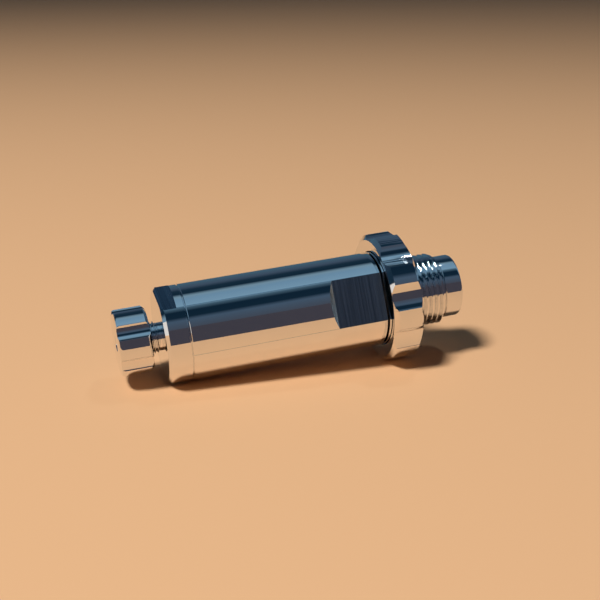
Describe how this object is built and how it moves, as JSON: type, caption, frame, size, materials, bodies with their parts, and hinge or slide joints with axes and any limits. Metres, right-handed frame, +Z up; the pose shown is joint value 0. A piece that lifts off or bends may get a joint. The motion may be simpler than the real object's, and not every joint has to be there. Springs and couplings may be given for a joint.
{
  "type": "cylinder valve pressure reducer",
  "caption": "Chromed in-line pressure reducer with a threaded handwheel for a diving cylinder valve and a lobed outlet knob.",
  "frame": {"origin": "on the axis, on the front face of the inlet nose, which seals against the cylinder valve", "axes": "+X along the axis, out of the inlet towards the valve; +Z up as the fitting lies on a table; -Y towards the wrench flat's side"},
  "size_m": [0.1107, 0.0408, 0.0409],
  "materials": {
    "chrome": "mirror polished plating on brass",
    "seal_rubber": "matt moulded",
    "sintered_bronze": "sintered, matt",
    "spring_steel": "ground",
    "steel": "turned stainless",
    "acetal": "machined",
    "seat_plastic": "machined",
    "bare_brass": "turned"
  },
  "bodies": {
    "housing": {"body": "chrome", "inlet_plug": "chrome", "inlet_nose": "chrome", "outlet_cap": "chrome", "joint_gasket": "seal_rubber", "nose_face_seal": "seal_rubber", "nose_shank_seal": "seal_rubber", "inlet_filter": "sintered_bronze", "filter_circlip": "spring_steel", "plug_seal": "seal_rubber", "inlet_orifice": "bare_brass", "orifice_seal": "seal_rubber", "shaft_seal": "seal_rubber", "shaft_backup_ring": "seat_plastic", "main_spring": "spring_steel", "spring_shim": "spring_steel", "cap_seal": "seal_rubber", "needle_seat": "seat_plastic"},
    "wheel_washer": {"slip_washer": "acetal"},
    "wheel": {"handwheel": "chrome"},
    "piston": {"piston": "bare_brass", "piston_seat": "seat_plastic", "piston_seal": "seal_rubber"},
    "needle": {"metering_needle": "steel", "needle_seal": "seal_rubber"},
    "knob": {"outlet_knob": "chrome", "knob_circlip": "spring_steel"}
  },
  "joints": [
    {"name": "wheel_float", "type": "slide", "parent": "housing", "child": "wheel_washer", "axis": [1, 0, 0], "range_m": [-0.001, 0]},
    {"name": "wheel_spin", "type": "hinge", "parent": "wheel_washer", "child": "wheel", "pos_m": [-0.0225, 0, 0], "axis": [1, 0, 0], "continuous": true},
    {"name": "needle_travel", "type": "slide", "parent": "housing", "child": "needle", "axis": [1, 0, 0], "range_m": [-0.001, 0.001]},
    {"name": "knob_turn", "type": "hinge", "parent": "needle", "child": "knob", "pos_m": [-0.105, 0, 0], "axis": [1, 0, 0], "range_deg": [-360, 360]},
    {"name": "piston_travel", "type": "slide", "parent": "housing", "child": "piston", "axis": [1, 0, 0], "range_m": [0, 0.0008], "stiffness_N_per_m": 2700, "springref_m": -0.008, "deforming": ["main_spring"]}
  ],
  "couplings": [
    {"joint": "knob_turn", "follows": "needle_travel", "rad_per_m": 6283.2}
  ]
}
